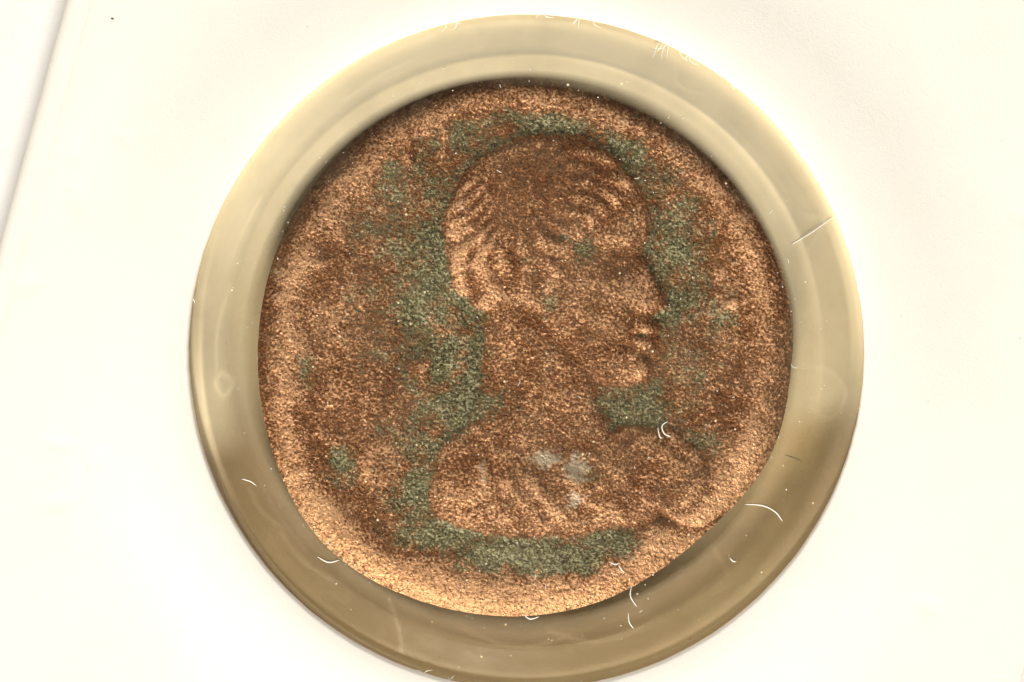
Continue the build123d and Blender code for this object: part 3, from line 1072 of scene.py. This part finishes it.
# where the metal is rubbed brighter or has stayed darker, and painted light: the bright patches round the lower
# rim are a painted highlight, the dark patch on the head's top a painted shade
toneAndLightPatches = [
    (-2.3, 3.8, 1.5, 2.3, 0.3), (1.5, 8.3, 3.2, 2.1, -0.75), (0.9, 5.6, 2.2, 1.6, -0.3),
    (3.6, 1.2, 2.0, 2.4, -0.3), (6.0, -6.0, 2.2, 1.5, -0.3), (-9.2, 0.9, 1.7, 3.4, 0.5),
    (-8.3, -3.6, 1.7, 1.8, 0.2), (10.1, 2.2, 1.3, 3.0, 0.5), (9.3, -5.5, 1.6, 1.8, 0.55),
    (-4.6, -10.5, 3.8, 0.9, 0.8), (1.0, -11.9, 5.5, 0.8, 1.5), (-7.2, 6.9, 1.5, 1.5, 0.2),
    (4.9, -2.5, 1.7, 1.0, -0.8), (-1.9, -2.4, 1.6, 1.0, -0.7), (-4.6, -0.5, 1.3, 1.1, -0.6),
    (-8.5, -8.0, 1.4, 1.4, 0.7), (-1.9, -6.9, 1.6, 1.0, 0.15), (7.0, 2.6, 1.0, 1.8, -0.2),
    (8.0, -9.0, 1.4, 0.9, 0.6), (11.6, -1.0, 0.6, 3.0, -0.3),
]

# smaller ones on the bust itself
bustPatches = [
    (1.3, 2.0, 0.5, 0.6, 0.85), (0.3, 3.9, 0.4, 0.6, 0.5), (2.0, 5.0, 0.5, 0.4, 0.35),
    (3.0, 4.6, 0.45, 1.1, 0.6), (1.2, -0.5, 0.5, 0.8, 0.5), (0.9, -1.6, 0.5, 0.4, 0.5),
    (-1.6, -6.3, 0.3, 0.9, 0.5), (-0.6, -7.2, 0.6, 0.5, 0.3), (-2.6, 9.0, 1.2, 0.6, 0.5),
    (5.6, 0.6, 0.3, 0.2, 0.5), (4.8, 1.9, 0.3, 0.3, 0.5), (3.6, -5.9, 0.9, 0.6, 0.25),
]


def pillow(depth, height, width):
    x = np.clip(depth / width, 0, 1)
    return height * np.sqrt(1 - (1 - x) ** 2)


def ridge(u, v, points, width, height):
    gap, _ = distanceTo(u, v, curveThrough(points, 8))
    return height * np.exp(-(gap / width) ** 2)


# folds of the drapery: a soft ridge along each, points, width, height
drapeFolds = [
    ([(-0.7, -6.0), (0.2, -7.2), (1.3, -8.3)], 0.3, 0.075),
    ([(0.5, -6.1), (1.4, -7.3), (2.7, -8.3)], 0.28, 0.075),
    ([(-1.8, -5.6), (-1.2, -7.1), (-0.3, -8.3)], 0.3, 0.06),
    ([(1.8, -5.5), (3.1, -6.8), (4.6, -7.9)], 0.4, 0.06),
    ([(3.4, -5.0), (4.8, -5.9), (6.2, -7.2)], 0.45, 0.05),
    ([(5.8, -4.4), (7.0, -5.2), (7.6, -6.4)], 0.45, 0.05),
    ([(-2.3, -3.9), (-0.5, -4.8), (1.4, -5.1), (3.3, -4.7), (4.4, -3.9)], 0.28, 0.06),
]


earLine = [(0.95, 1.9), (0.35, 2.4), (0.1, 3.3), (0.6, 4.1), (1.25, 3.9), (1.3, 3.1)]


def bustRelief(u, v):
    depth = coinShape["fieldDepth"]
    blurry = 0.16 * cloud(u, v, 0.9, 61, 2)
    head = insideOf(u, v, headOutline) + blurry * smooth((4.5 - u) / 2)
    neck = insideOf(u, v, neckOutline) + blurry
    bust = insideOf(u, v, bustOutline) + blurry
    headBody = pillow(head, depth * 0.72, 3.2)
    neckBody = pillow(neck, depth * 0.5, 2.2)
    bustBody = pillow(bust, depth * 0.7, 2.4)
    inFace = smooth(head / 0.4)
    # hair: waves that fall from the crown, thicker than the face, worn nearly flat in places
    hair = insideOf(u, v, hairLine) + 0.12 * cloud(u, v, 0.8, 62, 2)
    inHair = smooth(hair / 0.35) * smooth(head / 0.3)
    fromCrown = np.hypot(u + 0.4, v - 7.9)
    turn = np.arctan2(v - 7.9, u + 0.4)
    phase = turn * 13 + 1.5 * np.sin(fromCrown * 1.5 + 2 * turn) + 1.5 * cloud(u, v, 2.6, 71, 2)
    strands = np.abs(np.sin(phase)) ** 0.8 - 0.6
    kept = 0.45 + 0.55 * smooth(cloud(u, v, 2.0, 72, 2) + 0.5)
    hairRelief = inHair * (0.06 + 0.22 * kept * strands * smooth(fromCrown / 1.4))
    # features of the face
    face = 0.07 * bump(u, v, (3.5, 2.2), (1.5, 1.3), 10) - 0.075 * bump(u, v, (4.75, 4.15), (0.85, 0.5), 8)
    face += (0.06 * bump(u, v, (4.6, 4.98), (1.15, 0.24), -6)
             + 0.075 * bump(u, v, (4.72, 4.1), (0.46, 0.27), 4))
    face -= 0.03 * bump(u, v, (4.65, 3.62), (0.6, 0.12), 6)
    face += 0.05 * bump(u, v, (5.75, 1.95), (0.38, 0.3)) + 0.04 * bump(u, v, (5.85, 3.2), (0.25, 0.9), 24)
    face += (0.05 * bump(u, v, (5.75, 0.98), (0.5, 0.2), -12)
             + 0.05 * bump(u, v, (5.65, 0.28), (0.45, 0.2), 8))
    face -= 0.06 * bump(u, v, (5.55, 0.62), (0.6, 0.08), -2) - 0.04 * bump(u, v, (5.35, -0.28), (0.5, 0.16))
    face += 0.05 * bump(u, v, (5.2, -1.0), (0.7, 0.5)) - 0.03 * bump(u, v, (4.95, 1.35), (0.12, 0.65), -28)
    earRelief = ridge(u, v, earLine, 0.26, 0.09)
    earRelief = earRelief - 0.07 * bump(u, v, (0.8, 3.0), (0.35, 0.6))
    face = face * 2.3
    # wreath: pairs of leaves along a band, and the ribbon ends behind the neck
    gap, _ = distanceTo(u, v, wreathLine)
    leaf = np.zeros_like(u)
    steps = 9
    for k in range(steps):
        index = int((k + 0.5) / steps * (len(wreathLine) - 2))
        at, ahead = wreathLine[index], wreathLine[index + 1] - wreathLine[index]
        way = math.degrees(math.atan2(ahead[1], ahead[0]))
        normal = np.array([-ahead[1], ahead[0]]) / np.hypot(*ahead)
        for sideways, lean in ((0.36, 28), (-0.36, -28)):
            leaf = np.maximum(leaf, bump(u, v, at + normal * sideways, (0.6, 0.2), way + 180 - lean))
    band = 0.05 * np.exp(-(gap / 0.14) ** 2) - 0.06 * np.exp(-(gap / 0.8) ** 2)
    wreath = inFace * kept * (0.14 * leaf + band)
    ribbons = sum(0.1 * np.exp(-(distanceTo(u, v, line)[0] / 0.34) ** 2) for line in ribbonLines)
    # drapery folds and the round brooch on the shoulder
    folds = sum(ridge(u, v, points, width, height) for points, width, height in drapeFolds)
    brooch = np.hypot(u + 2.75, v + 6.45)
    folds = folds + 0.05 * np.exp(-((brooch - 0.6) / 0.2) ** 2) + 0.05 * np.exp(-(brooch / 0.3) ** 2)
    bustTop = bustBody + smooth(bust / 0.5) * (1.5 * folds - 0.05)
    lump = np.hypot(u + 6.45, v + 5.3)
    lump = 0.15 * smooth((1.5 - lump) / 0.9) - 0.05 * np.exp(-(lump / 0.4) ** 2)
    small = 0.14 * bump(u, v, (-4.6, -0.7), (0.5, 0.4)) + 0.14 * bump(u, v, (-3.5, -1.7), (0.45, 0.4))
    relief = np.maximum(neckBody, bustTop)
    relief = np.maximum(relief, headBody + inFace * (face + wreath + earRelief) + hairRelief)
    relief = np.maximum(relief, np.maximum(ribbons, lump) + small)
    return relief, head, bust


def altarRelief(u, v):
    # the other side: a worn altar in a garland
    altar = insideOf(u, v, curveThrough([
        (-3.2, -4.6), (-3.2, -3.9), (-2.7, -3.6), (-2.7, 1.4), (-3.2, 1.7), (-3.2, 2.4),
        (3.2, 2.4), (3.2, 1.7), (2.7, 1.4), (2.7, -3.6), (3.2, -3.9), (3.2, -4.6),
    ], 4, closed=True))
    relief = pillow(altar, 0.2, 0.7) + 0.04 * smooth(altar / 0.3) * np.abs(np.sin(v * 3.1))
    relief = relief - 0.1 * bump(u, v, (0.0, -1.1), (1.5, 1.4)) + 0.07 * bump(u, v, (0.0, -1.1), (0.6, 0.6))
    flame = 0.17 * bump(u, v, (0.0, 3.9), (0.5, 1.1)) + 0.12 * bump(u, v, (0.5, 3.5), (0.3, 0.7), 60)
    radius, turn = np.hypot(u, v), np.arctan2(v, u)
    leaf = np.abs(np.sin(turn * 23)) ** 0.6 * (0.6 + 0.4 * np.sin(radius * 7 + turn * 46))
    garland = 0.19 * np.exp(-((radius - 8.3) / 0.75) ** 2) * (0.45 + 0.55 * leaf)
    ties = 0.14 * bump(u, v, (0.0, -8.4), (1.0, 0.7)) + 0.12 * bump(u, v, (0.0, 8.4), (0.6, 0.6))
    return np.maximum.reduce([relief, flame, garland + ties])


def coinSide(u, v, radius, reach, face):
    # height over the field, and the marks that the patina follows
    seed = 100 if face == "obverse" else 200
    slow, medium = cloud(u, v, 4.5, seed, 3), cloud(u, v, 1.1, seed + 5, 3)
    fineGrain = cloud(u, v, 0.34, seed + 9, 2)
    fromEdge = reach - radius
    rim = coinShape["rimRise"] * smooth(1 - (fromEdge - 0.9) / coinShape["rimWidth"] + 0.25 * slow)
    if face == "obverse":
        relief, head, bust = bustRelief(u, v)
    else:
        relief = altarRelief(u, v)
    # worn stumps of a legend, too far gone to read
    turn = np.arctan2(v, u)
    rng = np.random.default_rng(seed + 20)
    stumps = np.zeros_like(u)
    for k in range(30):
        at = math.radians(12 * k + rng.uniform(-3, 3))
        place = (10.1 * math.cos(at), 10.1 * math.sin(at))
        size = (rng.uniform(0.35, 0.8), rng.uniform(0.14, 0.3))
        tall = rng.uniform(0.2, 1)
        lean = math.degrees(at) + rng.uniform(-35, 35)
        stumps = np.maximum(stumps, tall * bump(u, v, place, size, lean))
    relief = np.maximum(relief, 0.15 * stumps)
    height = blurred(np.maximum(rim, 0) + relief, 1)
    height -= coinShape["rimWear"] * np.clip(1 - fromEdge / 1.5, 0, 1) ** 1.6
    height += 0.11 * slow + 0.07 * medium + 0.045 * fineGrain
    if face == "obverse":
        gap, along = distanceTo(u, v, crackLine)
        below = np.interp(u, crackLine[:, 0], crackLine[:, 1]) - v
        near = smooth((u - 6.0) / 0.6) * smooth((9.8 - u) / 0.5)
        height -= 0.2 * near * smooth(below / 0.12 + 0.5) * np.exp(-np.maximum(below, 0) / 1.0)
        height -= 0.05 * near * np.exp(-(gap / 0.1) ** 2)
    limit = coinShape["fieldDepth"]
    height = np.minimum(height, limit - 0.06 * (1 - np.exp(-np.maximum(height - limit + 0.06, 0) / 0.06)))
    patches, chalk, tone = np.zeros_like(u), np.zeros_like(u), np.zeros_like(u)
    if face == "obverse":
        for pu, pv, wide, tall, strength in greenPatches:
            spread = (greenSpread[0] * wide, greenSpread[1] * tall)
            patches = np.maximum(patches, greenStrength * strength * bump(u, v, (pu, pv), spread))
        for pu, pv, wide, tall, strength in chalkPatches:
            chalk = np.maximum(chalk, strength * bump(u, v, (pu, pv), (wide, tall)))
        onBust = smooth(head / 0.5 + 0.3) + smooth(bust / 0.5 + 0.3)
        patches *= 1 - 0.8 * np.clip(onBust, 0, 1)
        for pu, pv, wide, tall, strength in bustPatches:
            patches = np.maximum(patches, strength * bump(u, v, (pu, pv), (wide, tall)))
        for pu, pv, wide, tall, strength in toneAndLightPatches:
            tone = tone + strength * bump(u, v, (pu, pv), (wide, tall))
    else:
        patches = np.clip(0.55 + 0.8 * slow - 3.0 * relief, 0, 0.9) * smooth(fromEdge / 3)
        chalk = np.clip(cloud(u, v, 3.0, 240, 2) - 0.55, 0, 1) * 1.5
    # painted shade along the upper edge, which faces away from the light, and real dark tarnish in the quiet parts
    # of the field
    dark = smooth(1 - (fromEdge - 0.25) / 1.0) * smooth((v - 2.0) / 6.0) * (0.8 + 0.4 * medium)
    dark = np.maximum(dark, 0.4 * np.clip(slow + 0.1, 0, 1))
    return height, patches, chalk, np.clip(dark, 0, 1), tone


def blurred(values, reach):
    # mean over a square of grid points, by running sums
    size = 2 * reach + 1
    padded = np.pad(values, reach, mode="edge")
    sums = np.cumsum(np.cumsum(np.pad(padded, ((1, 0), (1, 0))), axis=0), axis=1)
    inSquare = sums[size:, size:] - sums[:-size, size:] - sums[size:, :-size] + sums[:-size, :-size]
    return inSquare / size ** 2


def coinOutline():
    # how far the blank reaches at each angle, from the frame's own coin
    flat = nodePoints("coin")[:, :2] - (spinX, spinY)
    turn, far = np.arctan2(flat[:, 1], flat[:, 0]), np.hypot(flat[:, 0], flat[:, 1])
    edges = np.linspace(-halfTurn, halfTurn, 181)
    middles, reaches = [], []
    for low, high in zip(edges[:-1], edges[1:]):
        inBin = (turn >= low) & (turn < high) & (far > 0.94 * far.max())
        if inBin.any():
            best = np.argmax(np.where(inBin, far, 0))
            middles.append(turn[best])
            reaches.append(far[best])
    return np.array(middles), np.array(reaches)


def makeCoin():
    grid = coinShape["grid"]
    turns, reaches = coinOutline()
    turns3 = np.concatenate([turns - fullTurn, turns, turns + fullTurn])
    reaches3 = np.tile(reaches, 3)
    # square grid drawn onto a disc, ring by ring
    a, b = np.meshgrid(np.linspace(-1, 1, grid), np.linspace(-1, 1, grid), indexing="ij")
    big = np.maximum(np.abs(a), np.abs(b))
    small = np.where(np.abs(a) > np.abs(b), b / np.where(a == 0, 1, a), a / np.where(b == 0, 1, b))
    sector = small * halfTurn / 4
    turn = np.where(np.abs(a) > np.abs(b), sector + np.where(a < 0, halfTurn, 0),
                    halfTurn / 2 - sector + np.where(b < 0, halfTurn, 0))
    turn = np.arctan2(np.sin(turn), np.cos(turn))
    reach = np.interp(turn, turns3, reaches3)
    soft = coinShape["rimRound"]
    inward = reach - soft
    # the grid is laid out as if the rounded edge were unrolled flat
    extra = coinShape["edgeRows"]
    flatOut = big * (reach + extra)
    share = np.clip((flatOut - inward) / (soft + extra), 0, 1)
    bend = share * halfTurn / 2
    radius = np.where(flatOut < inward, flatOut, inward + soft * np.sin(bend))
    drop = np.where(flatOut < inward, 0, soft * (1 - np.cos(bend)))
    x, y = radius * np.cos(turn), radius * np.sin(turn)
    u = x * math.cos(viewTurn) + y * math.sin(viewTurn)
    v = y * math.cos(viewTurn) - x * math.sin(viewTurn)
    skins, marks = [], {"height": [], "verdigris": [], "deposit": [], "tarnishAndShade": []}
    for face, sign in (("obverse", 1), ("reverse", -1)):
        height, patches, chalk, dark, tone = coinSide(u * sign, v, radius, reach, face)
        fade = np.cos(bend) * 0.85 + 0.15
        level = coinShape["fieldDepth"] - height * fade
        level = np.maximum(level, 0)
        top = coinHigh[2] if sign > 0 else coinLow[2]
        rimDrop = drop * (1 - level / (coinHigh[2] - coinLow[2]))
        z = top - sign * (level * (1 - share ** 2 * 0.5) + rimDrop)
        hollow = blurred(height, 7) - height
        skins.append(np.stack([spinX + x, spinY + y, z], axis=-1).reshape(-1, 3))
        # painted highlight: brighter along the lower edge, where the light falls
        lower = smooth((1.5 - reach + radius) / 1.3) * smooth((2 - v) / 9)
        wornAndLit = 0.5 - 7 * hollow + 0.7 * (height - 0.12) + 0.9 * lower + tone
        marks["height"].append(np.clip(wornAndLit, 0, 1.6).ravel())
        marks["verdigris"].append(np.clip(patches + 5 * hollow * (patches > 0.15), 0, 1.2).ravel())
        marks["deposit"].append(chalk.ravel())
        marks["tarnishAndShade"].append(dark.ravel())
    # the rim of the grid, once round
    idx = np.arange(grid * grid).reshape(grid, grid)
    border = np.concatenate([idx[:-1, 0], idx[-1, :-1], idx[:0:-1, -1], idx[0, :0:-1]])
    points = [skins[0], skins[1]]
    wallRows = 3
    size = grid * grid
    for k in range(1, wallRows + 1):
        mix = k / (wallRows + 1)
        row = skins[0][border] * (1 - mix) + skins[1][border] * mix
        rough = 0.02 * cloud(row[:, 0] * 2, row[:, 1] * 2 + 9 * mix, 0.8, 300 + k, 2)
        out = row[:, :2] - (spinX, spinY)
        row[:, :2] -= out / np.hypot(out[:, 0], out[:, 1])[:, None] * np.abs(rough)[:, None]
        points.append(row)
    wallPoints = wallRows * len(border)
    for key, value in (("height", 0.45), ("verdigris", 0.12), ("deposit", 0.0), ("tarnishAndShade", 0.3)):
        marks[key].append(np.full(wallPoints, value))
    faces = []
    quads = np.stack([idx[:-1, :-1], idx[1:, :-1], idx[1:, 1:], idx[:-1, 1:]], axis=-1).reshape(-1, 4)
    faces += [tuple(q) for q in quads.tolist()]
    faces += [tuple(q[::-1]) for q in (quads + size).tolist()]
    wall = [2 * size + k * len(border) + np.arange(len(border)) for k in range(wallRows)]
    loops = [border, *wall, border + size]
    for upper, lower in zip(loops[:-1], loops[1:]):
        for j in range(len(border)):
            k = (j + 1) % len(border)
            faces.append((int(upper[k]), int(upper[j]), int(lower[j]), int(lower[k])))
    return makePiece(
        "struck_coin", np.concatenate(points), faces, "coin", bronze, replaces=["coin"],
        marks={key: np.concatenate(parts) for key, parts in marks.items()},
    )


makeCoin()
print("coin made")


# stage, light and camera

stageLook = {
    "floorSize": 0.6,
    "floorColour": colour(0.9, 0.885, 0.86),
    "floorShade": colour(0.87, 0.85, 0.8),
    "floorTooth": 0.05,
    "worldColour": colour(1.0, 0.93, 0.84),
    "worldStrength": 0.12,
    "lens": 100,
    "cameraHeight": 130.7,
    "aimRight": -0.67,
    "aimUp": 0.48,
}

# degrees round from the view's right, degrees over the table, metres
lamps = {
    "lowKey": {"turn": 260, "height": 20, "distance": 0.6, "size": (0.13, 0.1), "power": 7.4,
               "tint": (1.0, 0.95, 0.88)},
    "frontSoft": {"turn": 262, "height": 64, "distance": 0.34, "size": (0.34, 0.13), "power": 0.1,
                  "tint": (1.0, 0.96, 0.9)},
    "topSoft": {"turn": 88, "height": 47, "distance": 0.34, "size": (0.5, 0.2), "power": 0.62,
                "tint": (1.0, 0.965, 0.9)},
    "leftSoft": {"turn": 172, "height": 24, "distance": 0.4, "size": (0.4, 0.12), "power": 0.25,
                 "tint": (1.0, 0.96, 0.9)},
}


def makeFloor():
    material, tree, output = newMaterial("paleFloor")
    place = objectPlace(tree)
    grain = useGroup(tree, fibreGrain, Place=place, **{"Fibre Scale": 1.6, "Tooth Scale": 9.0})
    base = mixColour(tree, grain["Cloud"], stageLook["floorColour"], stageLook["floorShade"])
    shader = tree.nodes.new("ShaderNodeBsdfPrincipled")
    plug(tree, shader.inputs["Base Color"], base)
    shader.inputs["Roughness"].default_value = 0.8
    plug(tree, shader.inputs["Normal"], bumpNode(tree, grain["Height"], 0.4, stageLook["floorTooth"]))
    tree.links.new(shader.outputs[0], output.inputs["Surface"])
    mesh = bpy.data.meshes.new("floor")
    half = stageLook["floorSize"] / 2
    corners = [(-half, -half, 0), (half, -half, 0), (half, half, 0), (-half, half, 0)]
    mesh.from_pydata(corners, [], [(0, 1, 2, 3)])
    mesh.materials.append(material)
    floor = bpy.data.objects.new("floor", mesh)
    floor.location.z = -0.02 * mm
    bpy.context.scene.collection.objects.link(floor)


def aimAt(thing, place, target):
    thing.location = place
    thing.rotation_euler = (Vector(target) - Vector(place)).to_track_quat("-Z", "Y").to_euler()


def makeLight(name, turn, height, distance, size, power, tint):
    lamp = bpy.data.lights.new(name, "AREA")
    lamp.shape = "RECTANGLE"
    lamp.size, lamp.size_y = size
    lamp.energy = power
    lamp.color = tint
    light = bpy.data.objects.new(name, lamp)
    bpy.context.scene.collection.objects.link(light)
    flat = distance * math.cos(math.radians(height))
    right, up = flat * math.cos(math.radians(turn)), flat * math.sin(math.radians(turn))
    x, y = viewWay(right, up)
    aimAt(light, (x, y, distance * math.sin(math.radians(height))), (0, 0, 0))


makeFloor()
for name, lampLook in lamps.items():
    makeLight(name, **lampLook)

world = bpy.data.worlds.new("studio")
world.use_nodes = True
world.node_tree.nodes["Background"].inputs["Color"].default_value = stageLook["worldColour"]
world.node_tree.nodes["Background"].inputs["Strength"].default_value = stageLook["worldStrength"]
bpy.context.scene.world = world
bpy.context.scene.view_settings.view_transform = "Standard"

cameraData = bpy.data.cameras.new("camera")
cameraData.lens = stageLook["lens"]
cameraData.clip_start = 0.005
camera = bpy.data.objects.new("camera", cameraData)
bpy.context.scene.collection.objects.link(camera)
aimX, aimY = viewWay(stageLook["aimRight"], stageLook["aimUp"])
cameraZ = cardHigh[2] + stageLook["cameraHeight"]
camera.location = ((windowX["front"] + aimX) * mm, aimY * mm, cameraZ * mm)
camera.rotation_euler = (0, 0, viewTurn)
bpy.context.scene.camera = camera
print("stage set")
